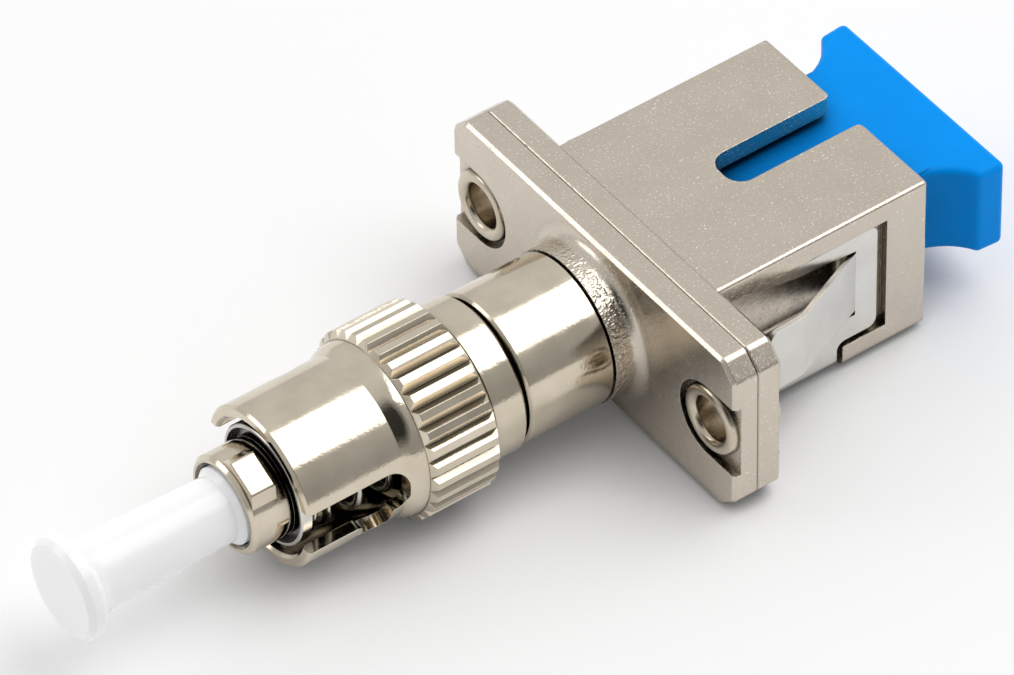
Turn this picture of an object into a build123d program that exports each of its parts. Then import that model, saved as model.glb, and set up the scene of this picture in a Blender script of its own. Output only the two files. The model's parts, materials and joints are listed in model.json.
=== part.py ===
from build123d import *
import os
from math import asin, cos, pi, radians, sin, tan

# Hybrid fibre adapter: a bayonet plug on one end and a rectangular push-pull port on the other.
# Millimetres. X runs along the optical axis, from the plug's nose (-X) to the port's mouth (+X).
# X = 0 is the seam between the two flange plates, and Z is up, towards the port's key slot.

# Clearances
press_gap = 0.01
running_gap = 0.06
slide_gap = 0.1
ring_gap = 0.08
moulding_gap = 0.05
cap_bore_gap = 0.08
cap_lip_gap = 0.07
plug_side_gap = 0.08
plug_top_gap = 0.5
plug_bottom_gap = 0.2
sleeve_gap = 0.01
bond_gap = 0.05
sleeve_float = 0.04
ear_pocket_gap = 0.27
nut_rear_gap = 0.25
clip_side_gap = 0.5
clip_edge_gap = 0.07
clip_floor_gap = 0.1
clip_foot_gap = 0.28

# Cutters run this far past the faces they open, and joined pieces lap by this much
past = 1.0
lap = 0.2

# Cast housing with the port
housing_width = 12.8
housing_height = 9.5
housing_edge = 0.22
housing_low_edge = 0.45
mouth_edge = 0.18
mouth_x = 13.95
port_width = 9.0
port_height = 7.4
port_corner = 0.3
key_slot_width = 2.35
key_slot_length = 7.55
key_slot_corner = 0.95
key_mouth_round = 0.45

# Flange plates and their ears
flange_width = 22.6
flange_height = 9.7
flange_corner = 0.98
flange_corner_round = 0.5
flange_bevel = 0.18
flange_seam_bevel = 0.08
front_plate = 1.44
rear_plate = 1.4
ear_margin = 2.1
front_pocket_depth = 0.42
rear_pocket_depth = 0.18

# Hollow rivets that join the plates
rivet_bore_radius = 1.2
rivet_wall = 0.3
rivet_head_radius = 1.93
rivet_head_height = 0.42
rivet_crown = 0.3
rivet_funnel = 0.36

# Panel clip and its recess in the housing
clip_thickness = 0.3
clip_bend = 0.5
clip_recess = 0.4
clip_recess_top = 3.57
clip_post_width = 2.45
clip_foot_length = 2.6
clip_foot_height = 1.35
clip_corner = 0.5
finger_top = 2.36
finger_bottom = -1.46
finger_root_setback = 1.3
finger_slope_length = 4.7
finger_pad_length = 2.05
finger_flare = 2.0
finger_pad_slope = 0.25
finger_slit = 0.3
finger_top_slit = 0.12
window_step = 0.42
window_step_length = 3.6
window_flat_length = 1.2
window_top = 3.5
relief_depth = 0.75
relief_round = 0.6
relief_top = 3.4
relief_front_margin = 0.6
relief_rear_margin = 0.3

# Boss, polished barrel and the shank of the plug
boss_radius = 4.1
boss_length = 1.56
boss_fillet = 0.7
barrel_radius = 4.03
barrel_length = 5.0
barrel_bevel = 0.15
barrel_spigot_radius = 3.3
barrel_spigot_length = 1.4
shank_radius = 2.3

# Nose of the plug with its key
nose_radius = 2.62
nose_front_x = -23.1
nose_length = 2.3
nose_bore_radius = 2.1
nose_bore_depth = 1.3
nose_chamfer = 0.18
key_angle = 64.0
key_top_width = 1.9
key_base_width = 2.9
key_rise = 0.32
key_root = 0.5
key_length = 1.4
key_setback = 0.22
key_edge = 0.07

# Coupling nut
nut_mouth_reach = 0.2
nut_collar_radius = 4.15
nut_collar_length = 2.1
knurl_radius = 5.0
knurl_depth = 0.36
knurl_length = 4.0
knurl_teeth = 32
knurl_crest_share = 0.4
knurl_bevel = 0.22
knurl_bevel_drop = 0.35
nut_neck_radius = 4.6
nut_neck_length = 1.1
nut_neck_round = 2.0
nut_tube_radius = 4.25
nut_bore_radius = 3.6
nut_bore_step = 0.3
spring_bore_radius = 3.3
nut_rear_wall = 1.05
nut_bevel = 0.15

# Bayonet slots in the nut
slot_width = 2.5
slot_length = 5.7
slot_end_round = 1.15
slot_heel_round = 0.8
channel_setback = 3.15
channel_width = 1.7
channel_turn = 36.0
prong_round = 0.4
detent_radius = 0.95
detent_shift = 0.3

# Spring, the ring in front of it and the washer behind it
ring_thickness = 0.6
ring_bevel = 0.06
ring_rim = 0.2
ring_hub_radius = 2.6
ring_groove_depth = 0.42
washer_thickness = 0.45
spring_wire = 0.42
spring_turns = 6.0
spring_wire_sides = 8

# Ferrules, sleeve and fibre
ferrule_radius = 1.25
ferrule_tip_length = 0.35
ferrule_tip_drop = 0.21
optical_plane_x = 1.25
front_ferrule_reach = 6.8
front_ferrule_length = 10.5
rear_ferrule_length = 10.0
holder_wall = 0.48
holder_bevel = 0.1
holder_proud = 0.2
holder_back = 2.7
stub_tube_wall = 0.6
stub_flange_radius = 3.0
stub_flange_thickness = 0.5
stub_step_length = 0.15
fibre_radius = 0.45
fibre_grip = 0.9
sleeve_wall = 0.34
sleeve_length = 11.1
sleeve_slit = 0.45
sleeve_groove_lap = 0.05
sleeve_groove_length = 0.6
sleeve_groove_depth = 0.13
lip_thickness = 0.25
lip_radius = 1.42
retainer_radius = 2.4

# Moulded insert in the port
insert_base = 1.5
insert_corner = 0.4
insert_tube_radius = 2.3
insert_tube_bevel = 0.25
latch_inner = 3.55
latch_thickness = 0.6
latch_height = 2.3
latch_reach = 5.3
latch_hook = 0.26
latch_hook_length = 0.8
latch_hook_flat = 0.32
latch_tip_rise = 0.1
latch_root = 0.4

# Dust cap on the front ferrule
cap_end_wall = 2.0
cap_tip_space = 0.5
cap_rim_radius = 2.7
cap_rim_length = 1.0
cap_rim_front_bevel = 0.3
cap_rim_rear_bevel = 0.2
cap_root_length = 0.25
cap_root_rise = 0.12
cap_neck_start = 0.7
cap_tube_radius = 1.72
cap_tube_flare = 0.22
cap_skirt_length = 0.33
cap_lip_length = 0.5

# Dust plug in the port
plug_overhang = 4.85
plug_plate = 1.55
plug_grip_width = 12.8
plug_grip_taper = 0.12
plug_grip_height = 5.3
plug_edge = 0.35
plug_shoulder = 0.7
plug_flank_length = 1.05
plug_flank_rise = 0.62
plug_head_depth = 2.0
plug_core_lap = 1.9
plug_core_length = 4.3
plug_wide_setback = 0.3
plug_bore_end = 0.2

# Places along the axis that follow from the sizes above
boss_front_x = -front_plate - boss_length
barrel_front_x = boss_front_x - barrel_length
spigot_end_x = boss_front_x + barrel_spigot_length
nose_rear_x = nose_front_x + nose_length
nose_step_x = nose_front_x + nose_bore_depth
nut_rear_x = barrel_front_x - nut_rear_gap
nut_front_x = nose_rear_x - nut_mouth_reach
nut_wall_x = nut_rear_x - nut_rear_wall
knurl_rear_x = nut_rear_x - nut_collar_length
knurl_front_x = knurl_rear_x - knurl_length
neck_front_x = knurl_front_x - nut_neck_length
slot_end_x = nut_front_x + slot_length
channel_front_x = nut_front_x + channel_setback
channel_rear_x = channel_front_x + channel_width
ring_rear_x = nose_rear_x + ring_thickness
washer_front_x = nut_wall_x - washer_thickness
ferrule_tip_x = nose_front_x - front_ferrule_reach
ferrule_rear_x = ferrule_tip_x + front_ferrule_length
holder_front_x = nose_step_x - holder_proud
holder_rear_x = ferrule_rear_x + holder_back
stub_front_x = optical_plane_x - rear_ferrule_length
sleeve_front_x = optical_plane_x - sleeve_length / 2
sleeve_rear_x = optical_plane_x + sleeve_length / 2
retainer_front_x = sleeve_front_x - lip_thickness
stub_step_x = retainer_front_x - stub_step_length
shank_rear_x = stub_step_x - stub_flange_thickness
port_floor_x = rear_plate
insert_face_x = port_floor_x + insert_base
insert_tube_end_x = sleeve_rear_x + lip_thickness
latch_tip_x = insert_face_x + latch_reach
recess_end_x = mouth_x - clip_post_width
foot_x = recess_end_x - clip_foot_length
clip_front_x = port_floor_x + clip_floor_gap
clip_end_x = recess_end_x - clip_side_gap
finger_root_x = clip_end_x - finger_root_setback
finger_bend_x = finger_root_x - finger_slope_length
finger_tip_x = finger_bend_x - finger_pad_length
cap_bore_end_x = ferrule_tip_x - cap_tip_space
cap_tip_x = cap_bore_end_x - cap_end_wall
plug_face_x = mouth_x + plug_overhang
plug_inner_x = latch_tip_x - plug_core_lap
plug_wide_x = plug_inner_x + plug_core_length

# Sizes across the axis that follow from the sizes above
half_width = housing_width / 2
half_height = housing_height / 2
hole_y = flange_width / 2 - ear_margin
rivet_radius = rivet_bore_radius + rivet_wall
ear_pocket_radius = rivet_head_radius + ear_pocket_gap
recess_y = half_width - clip_recess
recess_z = half_height - clip_recess
spring_radius = (shank_radius + spring_bore_radius) / 2
washer_radius = spring_bore_radius - slide_gap
ring_radius = spring_bore_radius - ring_gap
holder_radius = ferrule_radius + holder_wall
stub_radius = ferrule_radius + stub_tube_wall
sleeve_inner_radius = ferrule_radius + sleeve_gap
sleeve_outer_radius = sleeve_inner_radius + sleeve_wall
retainer_bore_radius = sleeve_outer_radius + sleeve_float
ferrule_seat_radius = ferrule_radius + bond_gap
cap_bore_radius = ferrule_radius + cap_bore_gap
cap_lip_radius = nose_bore_radius - cap_lip_gap
plug_top = port_height / 2 - plug_top_gap
plug_bottom = plug_bottom_gap - port_height / 2
plug_half_width = port_width / 2 - plug_side_gap
plug_core_half_width = latch_inner - latch_hook - slide_gap
plug_bore_radius = insert_tube_radius + slide_gap


def block(x0, x1, y0, y1, z0, z1):
    """Box between two corners."""
    size = (abs(x1 - x0), abs(y1 - y0), abs(z1 - z0))
    return Pos((x0 + x1) / 2, (y0 + y1) / 2, (z0 + z1) / 2) * Box(*size)


def turned(profile):
    """Solid of revolution about the optical axis from (x, radius) points."""
    return revolve(make_face(Polyline(*profile, close=True)), Axis.X)


def rod(x0, x1, radius):
    """Plain cylinder along the optical axis."""
    return Pos((x0 + x1) / 2, 0, 0) * Rot(0, 90, 0) * Cylinder(radius, abs(x1 - x0))


def slab_y(outline, y0, y1):
    """Prism between two Y levels whose outline is given as (x, z) points or as a sketch."""
    sketch = outline if isinstance(outline, Sketch) else make_face(Polyline(*outline, close=True))
    return extrude(Pos(0, y0, 0) * (Plane.XZ * sketch), amount=y1 - y0, dir=(0, 1, 0))


def slab_z(outline, z0, z1):
    """Prism between two Z levels whose outline is given as (x, y) points."""
    return extrude(Pos(0, 0, z0) * make_face(Polyline(*outline, close=True)), amount=z1 - z0)


def flange_plate(x0, x1, bevel_face):
    """Flange plate with cut and rounded corners, a bevel round its outer face and an eased seam edge."""
    outline = chamfer(Rectangle(flange_width, flange_height).vertices(), flange_corner)
    outline = fillet(outline.vertices(), flange_corner_round)
    plate = extrude(Pos(x0, 0, 0) * (Plane.YZ * outline), amount=x1 - x0, dir=(1, 0, 0))
    plate = chamfer(plate.faces().sort_by(Axis.X)[bevel_face].edges(), flange_bevel)
    return chamfer(plate.faces().sort_by(Axis.X)[-1 - bevel_face].edges(), flange_seam_bevel)


def ear_pockets(x0, x1):
    """Round recess at each hole, open through the end of its ear."""
    pockets = Part()
    for side in (-1, 1):
        pockets += Pos(0, side * hole_y, 0) * rod(x0, x1, ear_pocket_radius)
        pockets += block(x0, x1, side * hole_y, side * flange_width, -ear_pocket_radius, ear_pocket_radius)
    return pockets


def ear_holes(x0, x1):
    """Holes for the hollow rivets."""
    holes = Part()
    for side in (-1, 1):
        holes += Pos(0, side * hole_y, 0) * rod(x0, x1, rivet_radius + press_gap)
    return holes


def key_slot():
    """Slot in the top wall, open at the mouth, with a rounded inner end and rounded mouth corners."""
    inner_x = mouth_x - key_slot_length
    bottom = port_height / 2 - past
    top = half_height + past
    reach = key_slot_length + past
    body = Pos(inner_x + reach / 2, 0, 0) * Rectangle(reach, key_slot_width)
    body = fillet(body.vertices().group_by(Axis.X)[0], key_slot_corner)
    slot = extrude(Pos(0, 0, bottom) * body, amount=top - bottom)
    for side in (-1, 1):
        y = side * key_slot_width / 2
        centre = Pos(mouth_x - key_mouth_round, y + side * key_mouth_round, (bottom + top) / 2)
        corner = block(mouth_x - key_mouth_round, mouth_x + past, y, y + side * key_mouth_round, bottom, top)
        slot += corner - centre * Cylinder(key_mouth_round, top - bottom)
    return slot


def clip_recess_cut():
    """Recess for the clip: both sides and the underside of the housing."""
    foot_top = clip_foot_height - half_height
    outer_y = half_width + past
    low_z = -half_height - past
    cut = block(port_floor_x, foot_x, -outer_y, outer_y, low_z, -recess_z)
    outline = [
        (port_floor_x, low_z), (foot_x, low_z), (foot_x, foot_top), (recess_end_x, foot_top),
        (recess_end_x, clip_recess_top), (port_floor_x, clip_recess_top),
    ]
    cut += slab_y(outline, -outer_y, -recess_y)
    return cut + slab_y(outline, recess_y, outer_y)


def finger_reliefs():
    """Rounded hollow behind each clip finger, so that it can be pressed in."""
    front_x = port_floor_x + relief_front_margin
    rear_x = finger_root_x - relief_rear_margin
    cuts = Part()
    for side in (-1, 1):
        hollow = Box(rear_x - front_x, 2 * relief_depth, relief_top - finger_bottom)
        hollow = fillet(hollow.edges(), relief_round)
        cuts += Pos((front_x + rear_x) / 2, side * recess_y, (relief_top + finger_bottom) / 2) * hollow
    return cuts


def make_receptacle_housing():
    """Cast rear half: flange plate and port shell in one piece."""
    shell = block(0, mouth_x, -half_width, half_width, -half_height, half_height)
    shell = fillet(shell.edges().filter_by(Axis.X).group_by(Axis.Z)[-1], housing_edge)
    shell = fillet(shell.edges().filter_by(Axis.X).group_by(Axis.Z)[0], housing_low_edge)
    shell = fillet(shell.faces().sort_by(Axis.X)[-1].edges(), mouth_edge)
    side = port_width / 2
    top = port_height / 2
    port = block(port_floor_x, mouth_x + past, -side, side, -top, top)
    body = flange_plate(0, rear_plate, -1) + shell
    body -= fillet(port.edges().filter_by(Axis.X), port_corner)
    body -= key_slot()
    body -= clip_recess_cut()
    body -= finger_reliefs()
    body -= ear_pockets(rear_plate - rear_pocket_depth, rear_plate + past)
    body -= ear_holes(-past, rear_plate + past)
    return body - rod(-past, port_floor_x + past, retainer_radius + press_gap)


def make_front_flange():
    """Cast front half: flange plate with the boss that holds the barrel."""
    body = flange_plate(-front_plate, 0, 0) + rod(boss_front_x, lap - front_plate, boss_radius)
    root = [e for e in body.edges().filter_by(GeomType.CIRCLE)
            if abs(e.center().X + front_plate) < press_gap and abs(e.radius - boss_radius) < press_gap]
    body = fillet(root, boss_fillet)
    body -= ear_pockets(-front_plate - past, front_pocket_depth - front_plate)
    body -= ear_holes(-front_plate - past, past)
    body -= rod(boss_front_x - past, spigot_end_x, barrel_spigot_radius + press_gap)
    return body - rod(boss_front_x, past, retainer_radius + press_gap)


def rivet_head(floor_x, tip_x):
    """Rolled head of a hollow rivet, from the pocket's floor out to its crown."""
    head = turned([
        (floor_x, rivet_bore_radius), (floor_x, rivet_head_radius),
        (tip_x, rivet_head_radius), (tip_x, rivet_bore_radius),
    ])
    tip = [e for e in head.edges().filter_by(GeomType.CIRCLE) if abs(e.center().X - tip_x) < press_gap]
    head = fillet([e for e in tip if e.radius > rivet_radius], rivet_crown)
    tip = [e for e in head.edges().filter_by(GeomType.CIRCLE) if abs(e.center().X - tip_x) < press_gap]
    return fillet([e for e in tip if e.radius < rivet_radius], rivet_funnel)


def make_rivet(side):
    """Hollow rivet with a rolled head at each end, through both plates."""
    front_floor = front_pocket_depth - front_plate
    rear_floor = rear_plate - rear_pocket_depth
    front_tip = front_floor - rivet_head_height
    rear_tip = rear_floor + rivet_head_height
    tube = rod(front_floor, rear_floor, rivet_radius)
    tube += rivet_head(front_floor, front_tip) + rivet_head(rear_floor, rear_tip)
    tube -= rod(front_tip - past, rear_tip + past, rivet_bore_radius)
    return Pos(0, side * hole_y, 0) * tube


def clip_side_outline():
    """Outline of the clip's side leaf, with the notch that clears the housing's foot."""
    low = clip_foot_height - half_height + clip_foot_gap
    foot = foot_x - clip_foot_gap
    top = clip_recess_top - clip_edge_gap
    base = -half_height - past
    sketch = make_face(Polyline(
        (clip_front_x, base), (foot, base), (foot, low), (clip_end_x, low), (clip_end_x, top),
        (clip_front_x, top), close=True))
    corners = sketch.vertices().group_by(Axis.X)[-1]
    notch = [v for v in sketch.vertices() if abs(v.X - foot) < press_gap and abs(v.Y - low) < press_gap]
    return fillet(list(corners) + notch, clip_corner)


def clip_window():
    """Opening round the finger in the side leaf, wider towards the flange."""
    left = port_floor_x - past
    low = finger_bottom - finger_slit
    return [
        (left, low), (finger_root_x, low), (finger_root_x, finger_top + finger_top_slit),
        (finger_root_x - window_step_length, finger_top + window_step),
        (port_floor_x + window_flat_length, window_top), (left, window_top),
    ]


def clip_finger():
    """Sprung finger: flares outward from its root and runs nearly parallel to the housing at its tip."""
    inner = -recess_y
    outer = inner - clip_thickness
    root_x = clip_end_x - clip_side_gap
    slope = finger_flare / finger_slope_length
    shift = clip_thickness * slope / 2
    tip = finger_flare + finger_pad_slope * slope
    band = [
        (root_x, outer), (finger_root_x, outer), (finger_bend_x, outer - finger_flare),
        (finger_tip_x, outer - tip), (finger_tip_x, inner - tip),
        (finger_bend_x + shift, inner - finger_flare), (finger_root_x + shift, inner), (root_x, inner),
    ]
    centre = Pos((root_x + finger_tip_x) / 2, (finger_top + finger_bottom) / 2)
    face = centre * Rectangle(root_x - finger_tip_x, finger_top - finger_bottom)
    face = fillet(face.vertices().group_by(Axis.X)[0], clip_corner)
    return slab_z(band, finger_bottom, finger_top) & slab_y(face, -housing_width, 0)


def make_panel_clip():
    """Folded spring clip: a strap under the housing with a fingered leaf up each side."""
    outer_y = recess_y + clip_thickness
    outer_z = recess_z + clip_thickness
    strap = block(clip_front_x, clip_end_x, -outer_y, outer_y, -outer_z, clip_recess_top)
    low_edges = [e for e in strap.edges().filter_by(Axis.X) if e.center().Z < 0]
    strap = fillet(low_edges, clip_bend)
    strap -= block(0, mouth_x, -recess_y, recess_y, -recess_z, half_height)
    strap &= slab_y(clip_side_outline(), -housing_width, housing_width)
    strap -= slab_y(clip_window(), -housing_width, housing_width)
    finger = clip_finger()
    return strap + finger + mirror(finger, about=Plane.XZ)


def make_barrel():
    """Polished barrel: turned sleeve pressed into the boss, gripping the plug's shank."""
    grip_radius = shank_radius + press_gap
    bore_radius = retainer_radius + press_gap
    return turned([
        (barrel_front_x, grip_radius), (barrel_front_x, barrel_radius - barrel_bevel),
        (barrel_front_x + barrel_bevel, barrel_radius), (boss_front_x - barrel_bevel, barrel_radius),
        (boss_front_x, barrel_radius - barrel_bevel), (boss_front_x, barrel_spigot_radius),
        (spigot_end_x, barrel_spigot_radius), (spigot_end_x, bore_radius), (stub_step_x, bore_radius),
        (stub_step_x, stub_flange_radius), (shank_rear_x, stub_flange_radius), (shank_rear_x, grip_radius),
    ])


def nose_key():
    """Raised key on the nose, with sloped sides."""
    base_r = nose_radius - key_root
    top_r = nose_radius + key_rise
    outline = [
        (-key_base_width / 2, base_r), (key_base_width / 2, base_r),
        (key_top_width / 2, top_r), (-key_top_width / 2, top_r),
    ]
    face = Plane.YZ * make_face(Polyline(*outline, close=True))
    bar = extrude(Pos(nose_front_x + key_setback, 0, 0) * face, amount=key_length, dir=(1, 0, 0))
    bar = chamfer(bar.faces().sort_by(Axis.Z)[-1].edges(), key_edge)
    bar -= rod(nose_front_x, nose_rear_x, nose_radius - key_rise)
    return Rot(90 - key_angle, 0, 0) * bar


def make_plug_body():
    """Plug body: keyed nose in front, and a long shank that carries the spring and the nut."""
    grip_radius = holder_radius + press_gap
    stub_bore_radius = stub_radius + press_gap
    chamfer_x = nose_front_x + nose_chamfer
    body = turned([
        (nose_front_x, nose_bore_radius + nose_chamfer), (nose_front_x, nose_radius - nose_chamfer),
        (chamfer_x, nose_radius), (nose_rear_x - nose_chamfer, nose_radius),
        (nose_rear_x, nose_radius - nose_chamfer), (nose_rear_x, shank_radius),
        (shank_rear_x, shank_radius), (shank_rear_x, stub_bore_radius), (holder_rear_x, stub_bore_radius),
        (holder_rear_x, grip_radius), (nose_step_x, grip_radius), (nose_step_x, nose_bore_radius),
        (chamfer_x, nose_bore_radius),
    ])
    return body + nose_key()


def knurl_ring():
    """Straight knurl: flat crests with V grooves between them, bevelled at both ends."""
    root_share = (1 + knurl_crest_share) / 2
    root_radius = knurl_radius - knurl_depth
    corners = ((0, knurl_radius), (knurl_crest_share, knurl_radius), (root_share, root_radius))
    points = []
    for tooth in range(knurl_teeth):
        for share, radius in corners:
            angle = 2 * pi * (tooth + share) / knurl_teeth
            points.append((radius * cos(angle), radius * sin(angle)))
    star = Plane.YZ * make_face(Polyline(*points, close=True))
    ring = extrude(Pos(knurl_front_x, 0, 0) * star, amount=knurl_length, dir=(1, 0, 0))
    low = knurl_radius - knurl_bevel_drop
    high = knurl_radius + press_gap
    return ring & turned([
        (knurl_front_x, 0), (knurl_front_x, low), (knurl_front_x + knurl_bevel, high),
        (knurl_rear_x - knurl_bevel, high), (knurl_rear_x, low), (knurl_rear_x, 0),
    ])


def nut_blank():
    """Nut without its knurl or slots: rear collar, neck fillet and front tube."""
    low_tube = nut_tube_radius - nut_bevel
    low_collar = nut_collar_radius - nut_bevel
    tube = turned([
        (nut_front_x, 0), (nut_front_x, low_tube), (nut_front_x + nut_bevel, nut_tube_radius),
        (knurl_front_x + lap, nut_tube_radius), (knurl_front_x + lap, 0),
    ])
    arc = RadiusArc((neck_front_x, nut_tube_radius), (knurl_front_x, nut_neck_radius), nut_neck_round)
    rest = Polyline((knurl_front_x, nut_neck_radius), (knurl_front_x + lap, nut_neck_radius),
                    (knurl_front_x + lap, 0), (neck_front_x, 0), (neck_front_x, nut_tube_radius))
    neck = revolve(make_face([arc, rest]), Axis.X)
    collar = turned([
        (knurl_rear_x - lap, 0), (knurl_rear_x - lap, low_collar), (knurl_rear_x + nut_bevel, low_collar),
        (knurl_rear_x + 2 * nut_bevel, nut_collar_radius), (nut_rear_x - nut_bevel, nut_collar_radius),
        (nut_rear_x, low_collar), (nut_rear_x, spring_bore_radius),
        (barrel_front_x, spring_bore_radius), (barrel_front_x, 0),
    ])
    return tube + neck + collar


def nut_bores():
    """Stepped bore of the nut: shank, spring and mating barrel."""
    wall_radius = shank_radius + running_gap
    mouth_radius = nut_bore_radius + nut_bevel
    return turned([
        (barrel_front_x + past, 0), (barrel_front_x + past, wall_radius), (nut_wall_x, wall_radius),
        (nut_wall_x, spring_bore_radius), (knurl_front_x, spring_bore_radius),
        (knurl_front_x - nut_bore_step, nut_bore_radius), (nut_front_x + nut_bevel, nut_bore_radius),
        (nut_front_x, mouth_radius), (nut_front_x - past, mouth_radius), (nut_front_x - past, 0),
    ])


def slot_opening():
    """Straight entry of a bayonet slot and the mouth of its channel, through the near wall."""
    low = -slot_width / 2
    deep = low - 2 * prong_round
    start_x = nut_front_x - past
    sketch = make_face(Polyline(
        (start_x, -low), (start_x, low), (channel_front_x, low), (channel_front_x, deep),
        (channel_rear_x, deep), (channel_rear_x, low), (slot_end_x, low), (slot_end_x, -low), close=True))
    end = [v for v in sketch.vertices() if abs(v.X - slot_end_x) < press_gap]
    sketch = fillet([v for v in end if v.Y < 0], slot_heel_round)
    end = [v for v in sketch.vertices() if abs(v.X - slot_end_x) < press_gap and abs(v.Y + low) < press_gap]
    sketch = fillet(end, slot_end_round)
    front = [v for v in sketch.vertices() if abs(v.X - channel_front_x) < press_gap]
    prong = [v for v in front if abs(v.Y - low) < press_gap]
    return slab_y(fillet(prong, prong_round), -nut_tube_radius - past, -nut_bore_radius / 2)


def slot_channel():
    """Locking channel that runs round the tube from the slot's mouth."""
    inner = nut_bore_radius / 2
    outer = nut_tube_radius + past
    ring = turned([
        (channel_front_x, inner), (channel_front_x, outer), (channel_rear_x, outer), (channel_rear_x, inner),
    ])
    reach = 3 * nut_tube_radius
    start = asin((slot_width / 2 + prong_round) / nut_tube_radius)
    stop = radians(channel_turn)
    wedge = [(0, 0), (-reach * cos(start), -reach * sin(start)), (-reach * cos(stop), -reach * sin(stop))]
    sector = extrude(Plane.YZ * make_face(Polyline(*wedge, close=True)), amount=nut_front_x, dir=(1, 0, 0))
    return ring & sector


def bayonet_slot():
    """One L-shaped bayonet slot through the near wall, with its locking channel and detent."""
    middle_x = (channel_front_x + channel_rear_x) / 2 - detent_shift
    detent = Pos(0, 0, -nut_tube_radius) * Cylinder(detent_radius, nut_tube_radius)
    detent = Pos(middle_x, 0, 0) * Rot(channel_turn - 90, 0, 0) * detent
    return slot_opening() + slot_channel() + detent


def make_coupling_nut():
    """Bayonet coupling nut: knurled grip, collar and slotted front tube in one piece."""
    nut = nut_blank() + knurl_ring() - nut_bores()
    slot = bayonet_slot()
    return nut - slot - Rot(180, 0, 0) * slot


def make_thrust_washer():
    """Washer between the spring and the nut's rear wall."""
    inner = shank_radius + running_gap
    return turned([
        (washer_front_x, inner), (washer_front_x, washer_radius),
        (nut_wall_x, washer_radius), (nut_wall_x, inner),
    ])


def make_spring_ring():
    """Grooved ring in front of the spring, stopped by the rear of the nose."""
    inner = shank_radius + running_gap
    rim = ring_radius - ring_rim
    groove_x = nose_rear_x + ring_groove_depth
    return turned([
        (nose_rear_x, inner), (nose_rear_x, ring_hub_radius), (groove_x, ring_hub_radius),
        (groove_x, rim), (nose_rear_x, rim), (nose_rear_x, ring_radius - ring_bevel),
        (nose_rear_x + ring_bevel, ring_radius), (ring_rear_x, ring_radius), (ring_rear_x, inner),
    ])


def make_coupling_spring():
    """Compression spring between the front ring and the thrust washer."""
    wire = spring_wire / 2
    start = ring_rear_x + wire + press_gap
    height = washer_front_x - wire - press_gap - start
    path = Helix(height / spring_turns, height, spring_radius, center=(start, 0, 0), direction=(1, 0, 0))
    section = Plane(origin=path @ 0, z_dir=path % 0) * RegularPolygon(wire, spring_wire_sides)
    return sweep(section, path=path, is_frenet=True)


def make_front_ferrule():
    """Ceramic ferrule of the plug."""
    return turned([
        (ferrule_tip_x, 0), (ferrule_tip_x, ferrule_radius - ferrule_tip_drop),
        (ferrule_tip_x + ferrule_tip_length, ferrule_radius), (ferrule_rear_x, ferrule_radius),
        (ferrule_rear_x, 0),
    ])


def make_ferrule_holder():
    """Metal holder that grips the front ferrule inside the plug body."""
    fibre_bore = fibre_radius + press_gap
    return turned([
        (holder_front_x, ferrule_seat_radius), (holder_front_x, holder_radius - holder_bevel),
        (holder_front_x + holder_bevel, holder_radius), (holder_rear_x, holder_radius),
        (holder_rear_x, fibre_bore), (ferrule_rear_x, fibre_bore), (ferrule_rear_x, ferrule_seat_radius),
    ])


def make_fibre_buffer():
    """Buffered fibre that joins the two ferrules."""
    return rod(ferrule_rear_x, stub_front_x, fibre_radius)


def make_rear_ferrule():
    """Ceramic stub that ends half-way along the split sleeve."""
    return turned([
        (stub_front_x, 0), (stub_front_x, ferrule_radius),
        (optical_plane_x - ferrule_tip_length, ferrule_radius),
        (optical_plane_x, ferrule_radius - ferrule_tip_drop), (optical_plane_x, 0),
    ])


def make_stub_holder():
    """Flanged metal holder that grips the rear ferrule."""
    front_x = stub_front_x - fibre_grip
    fibre_bore = fibre_radius + press_gap
    flange_radius = stub_flange_radius - press_gap
    return turned([
        (front_x, fibre_bore), (front_x, stub_radius), (shank_rear_x, stub_radius),
        (shank_rear_x, flange_radius), (stub_step_x, flange_radius), (stub_step_x, retainer_radius),
        (retainer_front_x, retainer_radius), (retainer_front_x, ferrule_seat_radius),
        (stub_front_x, ferrule_seat_radius), (stub_front_x, fibre_bore),
    ])


def make_split_sleeve():
    """Slit ceramic sleeve that lines up the two ferrules, with a groove round the rear ferrule's tip."""
    mating_x = optical_plane_x + sleeve_groove_lap
    groove_x = mating_x - sleeve_groove_length
    groove_radius = ferrule_seat_radius + sleeve_groove_depth
    sleeve = turned([
        (sleeve_front_x, ferrule_seat_radius), (sleeve_front_x, sleeve_outer_radius),
        (sleeve_rear_x, sleeve_outer_radius), (sleeve_rear_x, sleeve_inner_radius),
        (mating_x, sleeve_inner_radius), (mating_x, groove_radius),
        (groove_x, groove_radius), (groove_x, ferrule_seat_radius),
    ])
    half_slit = sleeve_slit / 2
    start_x = sleeve_front_x - past
    return sleeve - block(start_x, sleeve_rear_x + past, -half_slit, half_slit, -retainer_radius, 0)


def make_sleeve_retainer():
    """Front half of the sleeve's housing, held in the flange bore."""
    return turned([
        (retainer_front_x, lip_radius), (retainer_front_x, retainer_radius),
        (port_floor_x, retainer_radius), (port_floor_x, retainer_bore_radius),
        (sleeve_front_x, retainer_bore_radius), (sleeve_front_x, lip_radius),
    ])


def latch_arm():
    """Latch arm on the near side of the port, with its inward hook."""
    inner = -latch_inner
    outer = inner - latch_thickness
    hook = inner + latch_hook
    hook_rear_x = latch_tip_x - latch_hook_length
    root_y = inner + latch_root
    outline = [
        (insert_face_x - lap, outer), (latch_tip_x, outer), (latch_tip_x, inner - latch_tip_rise),
        (hook_rear_x + latch_hook_flat, hook), (hook_rear_x, hook), (hook_rear_x, inner),
        (insert_face_x + latch_root, inner), (insert_face_x, root_y), (insert_face_x - lap, root_y),
    ]
    return slab_z(outline, -latch_height / 2, latch_height / 2)


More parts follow.
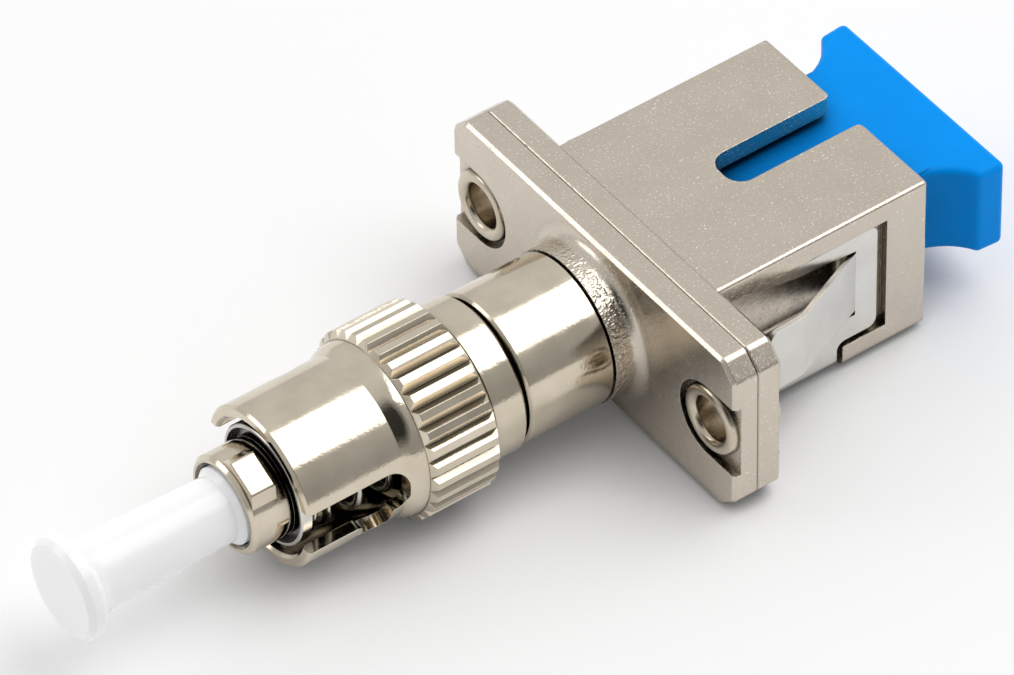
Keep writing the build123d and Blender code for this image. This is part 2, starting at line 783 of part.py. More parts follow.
def make_sc_insert():
    """Moulded insert: base, rear half of the sleeve's housing and two latch arms."""
    half_y = port_width / 2 - moulding_gap
    half_z = port_height / 2 - moulding_gap
    base = block(port_floor_x, insert_face_x, -half_y, half_y, -half_z, half_z)
    base = fillet(base.edges().filter_by(Axis.X), insert_corner)
    tube = rod(port_floor_x, insert_tube_end_x, insert_tube_radius)
    tube = chamfer(tube.faces().sort_by(Axis.X)[-1].edges(), insert_tube_bevel)
    arm = latch_arm()
    body = base + tube + arm + mirror(arm, about=Plane.XZ)
    return body - turned([
        (port_floor_x - past, 0), (port_floor_x - past, retainer_bore_radius),
        (sleeve_rear_x, retainer_bore_radius), (sleeve_rear_x, lip_radius),
        (insert_tube_end_x + past, lip_radius), (insert_tube_end_x + past, 0),
    ])


def make_ferrule_cap():
    """Soft dust cap pushed over the front ferrule, with a grip rim and a lip in the nose bore."""
    rim_x = cap_tip_x + cap_rim_length
    lip_x = nose_front_x + cap_lip_length
    neck_radius = cap_tube_radius + cap_tube_flare
    return turned([
        (cap_tip_x, 0), (cap_tip_x, cap_rim_radius - cap_rim_front_bevel),
        (cap_tip_x + cap_rim_front_bevel, cap_rim_radius), (rim_x - cap_rim_rear_bevel, cap_rim_radius),
        (rim_x, cap_rim_radius - cap_rim_rear_bevel), (rim_x + cap_root_length, neck_radius + cap_root_rise),
        (rim_x + cap_neck_start, neck_radius), (nose_front_x - cap_skirt_length, cap_tube_radius),
        (nose_front_x, cap_lip_radius), (lip_x, cap_lip_radius), (lip_x, cap_bore_radius),
        (cap_bore_end_x, cap_bore_radius), (cap_bore_end_x, 0),
    ])


def plug_head():
    """Grip of the dust plug: a T-shaped plate with concave flanks."""
    grip = plug_grip_width / 2
    side = grip - plug_grip_taper
    body = plug_half_width
    plate_x = plug_face_x - plug_plate
    waist_x = plate_x - plug_flank_length
    waist = body + plug_flank_rise
    shoulder_x = mouth_x + plug_shoulder
    root_x = mouth_x - plug_head_depth
    edge = Polyline((shoulder_x, -body), (root_x, -body), (root_x, body), (shoulder_x, body))
    far = ThreePointArc((shoulder_x, body), (waist_x, waist), (plate_x, side))
    face = Polyline((plate_x, side), (plug_face_x, grip), (plug_face_x, -grip), (plate_x, -side))
    near = ThreePointArc((plate_x, -side), (waist_x, -waist), (shoulder_x, -body))
    floor = Pos(0, 0, plug_top - plug_grip_height)
    head = extrude(floor * make_face([edge, far, face, near]), amount=plug_grip_height)
    rim = [e for e in head.edges() if e.center().X > shoulder_x + press_gap]
    return fillet(rim, plug_edge)


def make_sc_dust_plug():
    """Dust plug of the port: T-shaped grip with concave flanks and a bored body."""
    core = plug_core_half_width
    wide = plug_half_width
    wide_end_x = mouth_x - plug_wide_setback
    plug = plug_head()
    plug += block(plug_inner_x, plug_wide_x, -core, core, plug_bottom, plug_top)
    plug += block(plug_wide_x, wide_end_x, -wide, wide, plug_bottom, plug_top)
    return plug - rod(plug_inner_x - past, mouth_x + plug_bore_end, plug_bore_radius)


pieces = {
    "receptacle_housing": make_receptacle_housing(),
    "front_flange": make_front_flange(),
    "rivet_near": make_rivet(-1),
    "rivet_far": make_rivet(1),
    "panel_clip": make_panel_clip(),
    "barrel": make_barrel(),
    "plug_body": make_plug_body(),
    "coupling_nut": make_coupling_nut(),
    "thrust_washer": make_thrust_washer(),
    "coupling_spring": make_coupling_spring(),
    "spring_ring": make_spring_ring(),
    "front_ferrule": make_front_ferrule(),
    "ferrule_holder": make_ferrule_holder(),
    "fibre_buffer": make_fibre_buffer(),
    "rear_ferrule": make_rear_ferrule(),
    "stub_holder": make_stub_holder(),
    "split_sleeve": make_split_sleeve(),
    "sleeve_retainer": make_sleeve_retainer(),
    "sc_insert": make_sc_insert(),
    "ferrule_cap": make_ferrule_cap(),
    "sc_dust_plug": make_sc_dust_plug(),
}

os.makedirs("parts", exist_ok=True)
for name, piece in pieces.items():
    export_step(piece, f"parts/{name}.step")
    print(name, "volume", round(piece.volume, 2))
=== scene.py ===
"""Looks of the hybrid fibre adapter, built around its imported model. All lengths are in metres."""
import json
import logging
import math
from dataclasses import dataclass
from enum import Enum

import bmesh
import bpy
from mathutils import Matrix, Quaternion, Vector


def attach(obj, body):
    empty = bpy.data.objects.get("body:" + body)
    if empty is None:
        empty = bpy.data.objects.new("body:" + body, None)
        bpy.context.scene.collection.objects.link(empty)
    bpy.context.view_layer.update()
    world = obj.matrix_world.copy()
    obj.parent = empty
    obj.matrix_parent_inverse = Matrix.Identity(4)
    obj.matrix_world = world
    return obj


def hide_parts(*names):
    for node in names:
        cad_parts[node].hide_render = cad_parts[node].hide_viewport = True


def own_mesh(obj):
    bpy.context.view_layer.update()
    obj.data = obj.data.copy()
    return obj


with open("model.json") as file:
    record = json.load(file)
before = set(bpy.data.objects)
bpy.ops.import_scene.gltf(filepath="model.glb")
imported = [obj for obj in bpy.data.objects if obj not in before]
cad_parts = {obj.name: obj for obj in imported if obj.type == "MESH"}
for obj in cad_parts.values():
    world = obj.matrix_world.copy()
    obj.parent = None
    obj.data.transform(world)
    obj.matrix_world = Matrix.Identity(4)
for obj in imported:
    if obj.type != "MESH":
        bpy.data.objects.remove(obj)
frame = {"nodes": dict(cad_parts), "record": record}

LOG = logging.getLogger("fibre_adapter")
MM = 0.001
QUAD = 4
RGB = tuple[float, float, float]
RGBA = tuple[float, float, float, float]
XYZ = tuple[float, float, float]
Pair = tuple[float, float]
RISING: Pair = (0.0, 1.0)
FALLING: Pair = (1.0, 0.0)
WIDE_BAND: Pair = (0.3, 0.7)
MIDDLE_BAND: Pair = (0.35, 0.65)
EVEN: XYZ = (1.0, 1.0, 1.0)
CENTRE: XYZ = (0.0, 0.0, 0.0)
OPTICAL_AXIS: XYZ = (1.0, 0.0, 0.0)
BLACK: RGB = (0.0, 0.0, 0.0)
WHITE: RGBA = (1.0, 1.0, 1.0, 1.0)


class Finish(Enum):
    """Material slots of the record that the pieces take their finish from."""

    CAST = "cast_nickel"
    BRIGHT = "bright_nickel"
    RIVET = "rivet_nickel"
    STEEL = "spring_steel"
    CERAMIC = "ceramic"
    FIBRE = "fibre_coating"
    INSERT = "insert_plastic"
    CAP = "clear_cap"
    BLUE = "blue_plug"


class Graph:
    """Node tree with short ways to add and join its nodes."""

    def __init__(self, tree: bpy.types.NodeTree) -> None:
        """Start on a tree, with a node that gives its texture coordinates.

        Args:
            tree: Node tree of a material or of the world.
        """
        self.tree = tree
        self.place = self.add("ShaderNodeTexCoord")

    def add(self, kind: str, **values: object) -> bpy.types.Node:
        """Add a node.

        Args:
            kind: Blender's name of the node type.
            values: Properties of the node, set by name.

        Returns:
            The new node.
        """
        node = self.tree.nodes.new(kind)
        for name, value in values.items():
            setattr(node, name, value)
        return node

    def join(self, source: bpy.types.Node, out: str | int, target: bpy.types.Node, into: str | int) -> None:
        """Link one socket to another.

        Args:
            source: Node that gives the value.
            out: Its output socket.
            target: Node that takes the value.
            into: Its input socket.
        """
        self.tree.links.new(source.outputs[out], target.inputs[into])

    def span(self, source: bpy.types.Node, out: str, limits: Pair, band: Pair = RISING) -> bpy.types.Node:
        """Map one range of values to another, clamped.

        Args:
            source: Node that gives the value.
            out: Its output socket.
            limits: Results at the start and end of the range.
            band: Start and end of the range.

        Returns:
            The mapping node, with its value in Result.
        """
        node = self.add("ShaderNodeMapRange")
        for socket, value in zip(("From Min", "From Max", "To Min", "To Max"), band + limits):
            node.inputs[socket].default_value = value
        self.join(source, out, node, "Value")
        return node

    def blend(self, operation: str, first: bpy.types.Node, out: str, second: bpy.types.Node,
              other: str) -> bpy.types.Node:
        """Combine two values.

        Args:
            operation: Blender's name of the operation.
            first: Node that gives the first value.
            out: Its output socket.
            second: Node that gives the second value.
            other: Its output socket.

        Returns:
            The node, with the outcome in Value.
        """
        node = self.add("ShaderNodeMath", operation=operation)
        self.join(first, out, node, 0)
        self.join(second, other, node, 1)
        return node


class Board(Graph):
    """Node tree of one material, with the layers that its finish is built from."""

    # Sockets of the mix node that carry colours.
    FIRST_COLOUR = 6
    SECOND_COLOUR = 7
    MIXED_COLOUR = 2

    BEVEL_SAMPLES = 6
    SHELTER_SAMPLES = 8
    RIM_BAND: Pair = (0.80, 0.995)
    SHELTER_BAND: Pair = (0.25, 0.85)

    def __init__(self, name: str) -> None:
        """Start a material with its output and surface shader.

        Args:
            name: Name of the material.
        """
        self.material = bpy.data.materials.new(name)
        self.material.use_nodes = True
        self.material.node_tree.nodes.clear()
        super().__init__(self.material.node_tree)
        self.shader = self.add("ShaderNodeBsdfPrincipled")
        self.join(self.shader, "BSDF", self.add("ShaderNodeOutputMaterial"), "Surface")

    def set(self, **values: object) -> None:
        """Set sockets of the surface shader, with underscores for the spaces in their names."""
        for name, value in values.items():
            self.shader.inputs[name.replace("_", " ")].default_value = value

    def noise(self, grain: float, detail: float, stretch: XYZ = EVEN) -> bpy.types.Node:
        """Add a noise texture on object coordinates.

        Args:
            grain: Size of one grain.
            detail: Octaves of finer noise.
            stretch: Scale of the pattern along each axis.

        Returns:
            The texture node, with its value in Fac.
        """
        mapping = self.add("ShaderNodeMapping")
        mapping.inputs["Scale"].default_value = stretch
        self.join(self.place, "Object", mapping, "Vector")
        node = self.add("ShaderNodeTexNoise")
        node.inputs["Scale"].default_value = 1.0 / grain
        node.inputs["Detail"].default_value = detail
        self.join(mapping, "Vector", node, "Vector")
        return node

    def tint(self, factor: bpy.types.Node, out: str, first: RGB, second: RGB) -> bpy.types.Node:
        """Blend two colours.

        Args:
            factor: Node that gives the share of the second colour.
            out: Its output socket.
            first: First colour.
            second: Second colour.

        Returns:
            The mixing node.
        """
        node = self.add("ShaderNodeMix", data_type="RGBA")
        node.inputs[self.FIRST_COLOUR].default_value = (*first, 1.0)
        node.inputs[self.SECOND_COLOUR].default_value = (*second, 1.0)
        self.join(factor, out, node, 0)
        return node

    def drift(self, noise: bpy.types.Node, dark: RGB, light: RGB, band: Pair = MIDDLE_BAND) -> bpy.types.Node:
        """Let a colour drift with a noise.

        Args:
            noise: Node that gives the noise in Fac.
            dark: Colour at the band's start.
            light: Colour at the band's end.
            band: Range of the noise over which the colour changes.

        Returns:
            The mixing node.
        """
        return self.tint(self.span(noise, "Fac", RISING, band), "Result", dark, light)

    def coat(self, colour: bpy.types.Node, reach: float, painted_shade: RGB) -> None:
        """Paint shade into the shader's colour, darker in grooves and corners where other surfaces come near.

        Args:
            colour: Mixing node that gives the open colour.
            reach: Distance at which another surface still darkens this one.
            painted_shade: Painted shade, the colour at the bottom of a groove.
        """
        # Painted shade: an occlusion mask mixes the painted shade colour into the base colour in hollows.
        shelter = self.add("ShaderNodeAmbientOcclusion", samples=self.SHELTER_SAMPLES)
        shelter.inputs["Distance"].default_value = reach
        mix = self.tint(self.span(shelter, "AO", RISING, self.SHELTER_BAND), "Result", painted_shade, painted_shade)
        self.join(colour, self.MIXED_COLOUR, mix, self.SECOND_COLOUR)
        self.join(mix, self.MIXED_COLOUR, self.shader, "Base Color")

    def polish(self, noise: bpy.types.Node, rough: Pair, band: Pair = WIDE_BAND) -> None:
        """Give the shader a roughness that changes with a noise.

        Args:
            noise: Node that gives the noise in Fac.
            rough: Least and greatest roughness.
            band: Range of the noise over which it changes.
        """
        self.join(self.span(noise, "Fac", rough, band), "Result", self.shader, "Roughness")

    def eased(self, radius: float) -> bpy.types.Node:
        """Round the shading of sharp edges.

        Args:
            radius: Radius of the rounding.

        Returns:
            The node, with its direction in Normal.
        """
        node = self.add("ShaderNodeBevel", samples=self.BEVEL_SAMPLES)
        node.inputs["Radius"].default_value = radius
        return node

    def rim(self, radius: float) -> bpy.types.Node:
        """Find the surface close to sharp edges.

        Args:
            radius: How far from an edge the mask reaches.

        Returns:
            The node, with 1 on an edge and 0 away from it in Result.
        """
        flat = self.add("ShaderNodeNewGeometry")
        turn = self.add("ShaderNodeVectorMath", operation="DOT_PRODUCT")
        self.join(flat, "Normal", turn, 0)
        self.join(self.eased(radius), "Normal", turn, 1)
        return self.span(turn, "Value", FALLING, self.RIM_BAND)

    def relief(self, height: bpy.types.Node, out: str, depth: float, under: bpy.types.Node) -> bpy.types.Node:
        """Add a bump layer over an earlier direction.

        Args:
            height: Node that gives the height.
            out: Its output socket.
            depth: Height of the relief.
            under: Node that gives the earlier direction in Normal.

        Returns:
            The bump node.
        """
        node = self.add("ShaderNodeBump")
        node.inputs["Distance"].default_value = depth
        node.inputs["Strength"].default_value = 1.0
        self.join(height, out, node, "Height")
        self.join(under, "Normal", node, "Normal")
        return node

    def shape(self, top: bpy.types.Node) -> None:
        """Give the shader the direction of the topmost layer."""
        self.join(top, "Normal", self.shader, "Normal")


@dataclass(frozen=True)
class CastNickel:
    """Nickel plate on a die casting: satin, with bumped flecks in patches whose glints are also painted into
    the colour, and dented along its edges.
    """

    name: str = "cast_nickel"
    light: RGB = (0.64, 0.573, 0.487)
    dark: RGB = (0.605, 0.54, 0.455)
    # Painted glint: light colour put where the flecks lie, standing in for their glints.
    painted_glint: RGB = (0.98, 0.93, 0.86)
    # Painted shade: colour painted into grooves and corners of the casting.
    painted_shade: RGB = (0.13, 0.11, 0.08)
    rough: Pair = (0.20, 0.28)
    cloud: float = 1.8 * MM
    grain: float = 0.5 * MM
    speck: float = 0.11 * MM
    dent: float = 0.20 * MM
    grain_depth: float = 0.008 * MM
    speck_depth: float = 0.014 * MM
    dent_depth: float = 0.034 * MM
    speck_band: Pair = (0.64, 0.70)
    patch_band: Pair = (0.44, 0.60)
    patch_limits: Pair = (0.35, 1.0)
    dent_band: Pair = (0.40, 0.68)
    dent_stretch: XYZ = (0.7, 1.0, 1.0)
    edge: float = 0.06 * MM
    rim: float = 0.24 * MM
    boss_start: float = -1.9 * MM
    boss_full: float = -2.3 * MM
    shelter: float = 1.3 * MM

    def make(self) -> bpy.types.Material:
        """Build the material.

        Returns:
            The new material.
        """
        board = Board(self.name)
        cloud = board.noise(self.cloud, detail=3.0)
        grain = board.noise(self.grain, detail=2.0)
        specks = self.specks(board, cloud)
        # Painted glints: the flecks lift the colour towards the glint colour.
        painted_glints = board.tint(specks, "Value", self.dark, self.painted_glint)
        plain = board.drift(cloud, self.dark, self.light, WIDE_BAND)
        board.join(plain, board.MIXED_COLOUR, painted_glints, board.FIRST_COLOUR)
        # Painted shade: hollows of the casting take the painted shade colour.
        board.coat(painted_glints, self.shelter, self.painted_shade)
        board.polish(grain, self.rough)
        base = board.relief(grain, "Fac", self.grain_depth, board.eased(self.edge))
        fine = board.relief(specks, "Value", self.speck_depth, base)
        dent = board.span(board.noise(self.dent, 1.0, self.dent_stretch), "Fac", RISING, self.dent_band)
        dents = board.blend("MULTIPLY", dent, "Result", self.coarse(board), "Value")
        board.shape(board.relief(dents, "Value", self.dent_depth, fine))
        board.set(Metallic=1.0)
        return board.material

    def specks(self, board: Board, cloud: bpy.types.Node) -> bpy.types.Node:
        """Scatter small specks that are denser in patches.

        Args:
            board: Node tree of the finish.
            cloud: Noise that places the patches.

        Returns:
            The node, with the specks in Value.
        """
        speck = board.span(board.noise(self.speck, detail=1.0), "Fac", RISING, self.speck_band)
        patch = board.span(cloud, "Fac", self.patch_limits, self.patch_band)
        return board.blend("MULTIPLY", speck, "Result", patch, "Result")

    def coarse(self, board: Board) -> bpy.types.Node:
        """Find where the casting is coarse: along its edges and on the boss.

        Args:
            board: Node tree of the finish.

        Returns:
            The node, with the share in Value.
        """
        parts = board.add("ShaderNodeSeparateXYZ")
        board.join(board.place, "Object", parts, 0)
        boss = board.span(parts, "X", FALLING, (self.boss_full, self.boss_start))
        return board.blend("MAXIMUM", boss, "Result", board.rim(self.rim), "Result")


@dataclass(frozen=True)
class TurnedNickel:
    """Polished nickel plate on turned brass, with faint tool marks round the axis and small pits."""

    name: str = "bright_nickel"
    light: RGB = (0.68, 0.605, 0.487)
    dark: RGB = (0.61, 0.54, 0.425)
    rough: Pair = (0.08, 0.15)
    # Painted shade: colour painted into grooves, slots and corners of the turned parts.
    painted_shade: RGB = (0.04, 0.032, 0.02)
    mark: float = 0.05 * MM
    mark_stretch: XYZ = (1.0, 0.02, 0.02)
    cloud: float = 1.6 * MM
    pit: float = 0.16 * MM
    mark_depth: float = 0.0010 * MM
    pit_depth: float = 0.004 * MM
    edge: float = 0.05 * MM
    shelter: float = 1.5 * MM

    def make(self) -> bpy.types.Material:
        """Build the material.

        Returns:
            The new material.
        """
        board = Board(self.name)
        cloud = board.noise(self.cloud, detail=3.0)
        mark = board.noise(self.mark, 2.0, self.mark_stretch)
        pit = board.noise(self.pit, detail=3.0)
        # Painted shade: hollows take the painted shade colour.
        board.coat(board.drift(cloud, self.dark, self.light), self.shelter, self.painted_shade)
        board.polish(cloud, self.rough, MIDDLE_BAND)
        marked = board.relief(mark, "Fac", self.mark_depth, board.eased(self.edge))
        board.shape(board.relief(pit, "Fac", self.pit_depth, marked))
        board.set(Metallic=1.0)
        return board.material


@dataclass(frozen=True)
class SatinSteel:
    """Rolled stainless strip or drawn wire with a fine grain."""

    name: str = "spring_steel"
    light: RGB = (0.75, 0.73, 0.69)
    dark: RGB = (0.69, 0.67, 0.63)
    # Painted shade: colour painted into hollows, so coils inside slots look dark.
    painted_shade: RGB = (0.04, 0.037, 0.033)
    rough: Pair = (0.20, 0.28)
    cloud: float = 1.8 * MM
    grain: float = 0.06 * MM
    grain_stretch: XYZ = (0.04, 1.0, 1.0)
    grain_depth: float = 0.0010 * MM
    edge: float = 0.035 * MM
    shelter: float = 1.9 * MM

    def make(self) -> bpy.types.Material:
        """Build the material.

        Returns:
            The new material.
        """
        board = Board(self.name)
        grain = board.noise(self.grain, 3.0, self.grain_stretch)
        cloud = board.noise(self.cloud, detail=2.0)
        # Painted shade: hollows take the painted shade colour.
        board.coat(board.drift(cloud, self.dark, self.light), self.shelter, self.painted_shade)
        board.polish(grain, self.rough)
        board.shape(board.relief(grain, "Fac", self.grain_depth, board.eased(self.edge)))
        board.set(Metallic=1.0)
        return board.material


@dataclass(frozen=True)
class Moulding:
    """Moulded plastic with a faint surface grain and colour drift, and an optional painted glow."""

    name: str
    light: RGB
    dark: RGB
    rough: Pair = (0.30, 0.42)
    cloud: float = 3.0 * MM
    grain: float = 0.14 * MM
    grain_depth: float = 0.0015 * MM
    scatter: float = 0.0
    scatter_depth: float = 1.0 * MM
    # Painted glow: emission strength that brightens the part as if lit through, though it is no lamp.
    painted_glow: float = 0.0
    refraction: float = 1.5
    gloss: float = 0.5
    # Painted shade: share of the dark colour painted into grooves and corners.
    painted_shade: float = 0.3
    shelter: float = 2.5 * MM
    edge: float = 0.06 * MM

    def make(self) -> bpy.types.Material:
        """Build the material.

        Returns:
            The new material.
        """
        board = Board(self.name)
        cloud = board.noise(self.cloud, detail=2.0)
        grain = board.noise(self.grain, detail=3.0)
        # Painted shade colour: the dark colour scaled down.
        painted_shade = tuple(self.painted_shade * part for part in self.dark)
        board.coat(board.drift(cloud, self.dark, self.light), self.shelter, painted_shade)
        board.polish(grain, self.rough)
        board.shape(board.relief(grain, "Fac", self.grain_depth, board.eased(self.edge)))
        # Painted glow: the emission strength comes from the painted glow setting.
        board.set(IOR=self.refraction, Specular_IOR_Level=self.gloss, Subsurface_Weight=self.scatter,
                  Subsurface_Scale=self.scatter_depth, Subsurface_Radius=EVEN, Emission_Color=WHITE,
                  Emission_Strength=self.painted_glow)
        return board.material


FINISHES = {
    Finish.CAST: CastNickel(),
    Finish.BRIGHT: TurnedNickel(),
    Finish.RIVET: TurnedNickel("rivet_nickel", (0.64, 0.57, 0.465), (0.53, 0.46, 0.36), (0.16, 0.28)),
    Finish.STEEL: SatinSteel(),
    Finish.CERAMIC: Moulding("ceramic", (0.93, 0.93, 0.91), (0.90, 0.90, 0.87), (0.08, 0.14)),
    Finish.FIBRE: Moulding("fibre_coating", (0.90, 0.88, 0.80), (0.86, 0.83, 0.74)),
    Finish.INSERT: Moulding("insert_plastic", (0.84, 0.84, 0.82), (0.80, 0.80, 0.77)),
    Finish.CAP: Moulding("clear_cap", (1.0, 1.0, 1.0), (0.98, 0.99, 1.0), (0.10, 0.15),
                         grain_depth=0.0002 * MM, scatter=0.6, scatter_depth=0.4 * MM, painted_glow=0.10,
                         painted_shade=1.0),
    Finish.BLUE: Moulding("blue_plug", (0.0, 0.33, 0.99), (0.0, 0.31, 0.95), (0.30, 0.40), gloss=0.06,
                          painted_shade=0.08, shelter=3.5 * MM, edge=0.12 * MM),
}


class Paint:
    """Makes each finish once and puts it on pieces."""

    def __init__(self) -> None:
        """Start with no finish made."""
        self.made: dict[Finish, bpy.types.Material] = {}

    def coat(self, piece: bpy.types.Object, finish: Finish) -> None:
        """Give a piece one finish, made on first use.

        Args:
            piece: Piece or CAD node.
            finish: Its finish.
        """
        if finish not in self.made:
            self.made[finish] = FINISHES[finish].make()
        piece.data.materials.clear()
        piece.data.materials.append(self.made[finish])


@dataclass
class Assembly:
    """A group of CAD nodes that are dressed together."""

    paint: Paint
    nodes: tuple[str, ...] = ()

    def dress(self) -> None:
        """Put the record's finish on each node of the group."""
        finishes = {row["node"]: Finish(row["material_slot"]) for row in frame["record"]["subparts"]}
        for name in self.nodes:
            self.paint.coat(frame["nodes"][name], finishes[name])
            LOG.info("dressed %s with %s", name, finishes[name].value)


@dataclass
class Shell(Assembly):
    """Cast housing, front flange, rivets and panel clip."""

    nodes: tuple[str, ...] = ("receptacle_housing", "front_flange", "rivet_near", "rivet_far", "panel_clip")


@dataclass
class Optics(Assembly):
    """Ferrules, their holders, the fibre, the sleeve and its housing."""

    nodes: tuple[str, ...] = ("front_ferrule", "ferrule_holder", "fibre_buffer", "rear_ferrule",
                              "stub_holder", "split_sleeve", "sleeve_retainer", "sc_insert")


@dataclass
class Caps(Assembly):
    """Dust cap of the ferrule and dust plug of the port."""

    nodes: tuple[str, ...] = ("ferrule_cap", "sc_dust_plug")


@dataclass
class Plug(Assembly):
    """Barrel, keyed nose, coupling nut, and the spring with its ring and washer."""

    nodes: tuple[str, ...] = ("barrel", "plug_body", "coupling_nut", "spring_ring", "thrust_washer")
    spring_start: float = -20.2 * MM
    spring_end: float = -9.75 * MM
    spring_radius: float = 2.8 * MM
    wire: float = 0.21 * MM
    front_turns: int = 4
    rear_turns: int = 1
    steps: int = 56
    wire_sides: int = 14
    push: float = 4.5 * MM
    pull: float = 1.5 * MM

    def coil(self, name: str, start: float, plan: tuple[tuple[int, float], ...]) -> bpy.types.Object:
        """Coil one length of the spring's wire.

        Args:
            name: Name of the piece.
            start: Place of the wire's centre at its front end.
            plan: Whole turns and rise of each stretch.

        Returns:
            The new piece.
        """
        shape = bmesh.new()
        made = bmesh.ops.create_circle(shape, cap_ends=False, segments=self.wire_sides, radius=self.wire)
        turn = Matrix.Rotation(math.pi / 2, 3, "X")
        bmesh.ops.rotate(shape, verts=made["verts"], cent=CENTRE, matrix=turn)
        bmesh.ops.translate(shape, verts=made["verts"], vec=(start, 0.0, self.spring_radius))
        last = list(shape.edges) + list(shape.verts)
        for turns, rise in plan:
            count = turns * self.steps
            made = bmesh.ops.spin(shape, geom=last, cent=CENTRE, axis=OPTICAL_AXIS,
                                  dvec=(rise / count, 0.0, 0.0), angle=2.0 * math.pi * turns, steps=count,
                                  use_merge=False, use_duplicate=False)
            last = made["geom_last"]
        bmesh.ops.holes_fill(shape, edges=[edge for edge in shape.edges if edge.is_boundary], sides=0)
        bmesh.ops.recalc_face_normals(shape, faces=shape.faces)
        for face in shape.faces:
            face.smooth = len(face.verts) == QUAD
        mesh = bpy.data.meshes.new(name)
        shape.to_mesh(mesh)
        shape.free()
        piece = bpy.data.objects.new(name, mesh)
        bpy.context.scene.collection.objects.link(piece)
        self.paint.coat(piece, Finish.STEEL)
        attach(piece, "adapter_body")
        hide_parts("coupling_spring")
        LOG.info("coiled %s with %d faces", name, len(mesh.polygons))
        return piece

    def spring(self) -> None:
        """Coil two lengths that meet, a front one and a rear one, each with its own mesh."""
        closed = (1, 2.0 * self.wire)
        start = self.spring_start + self.wire
        end = self.spring_end - self.wire
        rise = (end - start - 2.0 * closed[1]) / (self.front_turns + self.rear_turns)
        middle = start + closed[1] + self.front_turns * rise
        front = self.coil("round_spring_front", start, (closed, (self.front_turns, self.front_turns * rise)))
        rear = self.coil("round_spring_rear", middle, ((self.rear_turns, self.rear_turns * rise), closed))
        for piece, joint, travel, length in ((front, "ring_push", self.push, middle - self.spring_start),
                                             (rear, "nut_pull", self.pull, self.spring_end - middle)):
            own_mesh(piece)

    def dress(self) -> None:
        """Dress the nodes and add the round spring."""
        super().dress()
        self.spring()


@dataclass(frozen=True)
class Softbox:
    """A rectangular lamp aimed at the object, with its brightness given so that 1 is white."""

    name: str
    direction: XYZ
    size: Pair
    radiance: float
    distance: float = 0.6

    def hang(self) -> None:
        """Add the lamp on its side of the object."""
        data = bpy.data.lights.new(self.name, "AREA")
        data.shape = "RECTANGLE"
        data.size, data.size_y = self.size
        data.energy = self.radiance * math.pi * self.size[0] * self.size[1]
        lamp = bpy.data.objects.new(self.name, data)
        bpy.context.scene.collection.objects.link(lamp)
        place = Vector(self.direction).normalized() * self.distance
        lamp.matrix_world = Matrix.Translation(place) @ (-place).to_track_quat("-Z", "Y").to_matrix().to_4x4()


@dataclass(frozen=True)
class Slope:
    """Brightness of the room that changes by how far a direction leans one way."""

    way: XYZ
    limits: Pair
    band: Pair

    def shade(self, room: Graph) -> bpy.types.Node:
        """Add the nodes of the slope.

        Args:
            room: Node tree of the world.

        Returns:
            The node, with the brightness in Result.
        """
        lean = room.add("ShaderNodeVectorMath", operation="DOT_PRODUCT")
        lean.inputs[1].default_value = self.way
        room.join(room.place, "Generated", lean, 0)
        return room.span(lean, "Value", self.limits, self.band)


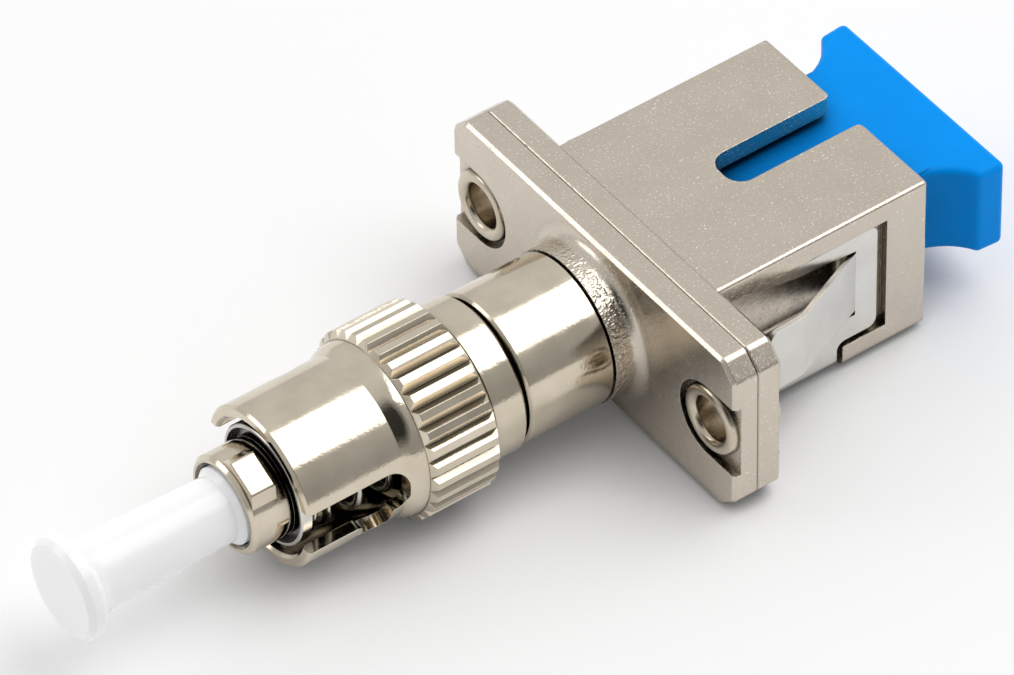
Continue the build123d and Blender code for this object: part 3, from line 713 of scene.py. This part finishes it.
@dataclass
class Studio:
    """Floor, lamps, world and camera."""

    floor_level: float = -5.02 * MM
    floor_reach: float = 1.2
    floor_white: float = 0.86
    floor_rough: float = 0.9
    floor_glow: float = 0.16
    # Painted shadow: reach, samples, band and limits of the occlusion mask that darkens the floor near the
    # object.
    painted_shadow_reach: float = 8.0 * MM
    painted_shadow_samples: int = 16
    painted_shadow_band: Pair = (0.12, 0.56)
    painted_shadow_limits: Pair = (0.42, 1.0)
    eye: Vector = Vector((-0.19146754, -0.25911776, 0.31286366))
    aim: Vector = Vector((-0.00497303, 0.00209972, -0.00120661))
    roll: float = -1.0744
    lens: float = 331.311
    sensor: float = 36.0
    clip: Pair = (0.01, 10.0)
    lamps: tuple[Softbox, ...] = (
        Softbox("softbox_over", (0.415, -0.19, 0.89), (0.50, 0.42), 2.2),
        Softbox("softbox_rear", (-0.70, 0.58, 0.415), (0.24, 0.24), 1.8),
    )
    near_slope: Slope = Slope((0.0, 0.64, 0.77), (0.40, 0.80), (-0.4, 0.9))
    back_slope: Slope = Slope((-0.43, -0.66, 0.62), (1.0, 0.08), (0.84, 0.96))

    def camera(self) -> None:
        """Put the camera at the photograph's angle."""
        data = bpy.data.cameras.new("camera")
        data.lens = self.lens
        data.sensor_width = self.sensor
        data.clip_start, data.clip_end = self.clip
        camera = bpy.data.objects.new("camera", data)
        bpy.context.scene.collection.objects.link(camera)
        turn = (self.aim - self.eye).to_track_quat("-Z", "Y")
        roll = Quaternion((0.0, 0.0, 1.0), math.radians(self.roll))
        camera.matrix_world = Matrix.Translation(self.eye) @ (turn @ roll).to_matrix().to_4x4()
        bpy.context.scene.camera = camera

    def floor_finish(self) -> bpy.types.Material:
        """Make the floor white to the camera and to reflections; near the object an occlusion mask darkens
        its colour and glow, a painted shadow.

        Returns:
            The new material.
        """
        board = Board("floor")
        # Painted shadow: the occlusion mask darkens the floor colour and its glow near the object.
        shelter = board.add("ShaderNodeAmbientOcclusion", samples=self.painted_shadow_samples)
        shelter.inputs["Distance"].default_value = self.painted_shadow_reach
        open_share = board.span(shelter, "AO", self.painted_shadow_limits, self.painted_shadow_band)
        colour = board.tint(open_share, "Result", BLACK, (self.floor_white,) * 3)
        board.join(colour, board.MIXED_COLOUR, board.shader, "Base Color")
        path = board.add("ShaderNodeLightPath")
        seen = board.blend("MAXIMUM", path, "Is Camera Ray", path, "Is Glossy Ray")
        seen_through = board.blend("MAXIMUM", seen, "Value", path, "Is Transmission Ray")
        lit = board.blend("MULTIPLY", seen_through, "Value", open_share, "Result")
        glow = board.span(lit, "Value", (0.0, self.floor_glow))
        board.join(glow, "Result", board.shader, "Emission Strength")
        board.set(Roughness=self.floor_rough, Specular_IOR_Level=0.0, Emission_Color=WHITE)
        return board.material

    def floor(self) -> None:
        """Lay the plain pale floor."""
        shape = bmesh.new()
        bmesh.ops.create_grid(shape, x_segments=1, y_segments=1, size=self.floor_reach)
        bmesh.ops.translate(shape, verts=shape.verts, vec=(0.0, 0.0, self.floor_level))
        mesh = bpy.data.meshes.new("floor")
        shape.to_mesh(mesh)
        shape.free()
        mesh.materials.append(self.floor_finish())
        floor = bpy.data.objects.new("floor", mesh)
        bpy.context.scene.collection.objects.link(floor)

    def world(self) -> None:
        """Fill the room with soft light that is dimmer on the near side and dim behind the camera."""
        world = bpy.data.worlds.new("room")
        world.use_nodes = True
        background = world.node_tree.nodes["Background"]
        background.inputs["Color"].default_value = WHITE
        room = Graph(world.node_tree)
        near, back = self.near_slope.shade(room), self.back_slope.shade(room)
        room.join(room.blend("MULTIPLY", near, "Result", back, "Result"), "Value", background, "Strength")
        bpy.context.scene.world = world

    def build(self) -> None:
        """Set the whole studio up."""
        bpy.context.scene.view_settings.view_transform = "Standard"
        self.camera()
        self.world()
        self.floor()
        for lamp in self.lamps:
            lamp.hang()


def main() -> None:
    """Build the studio and every sub-assembly."""
    logging.basicConfig(level=logging.INFO, format="%(message)s")
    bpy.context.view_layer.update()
    Studio().build()
    paint = Paint()
    for group in (Shell, Optics, Caps, Plug):
        group(paint).dress()


if __name__ == "__main__":
    main()
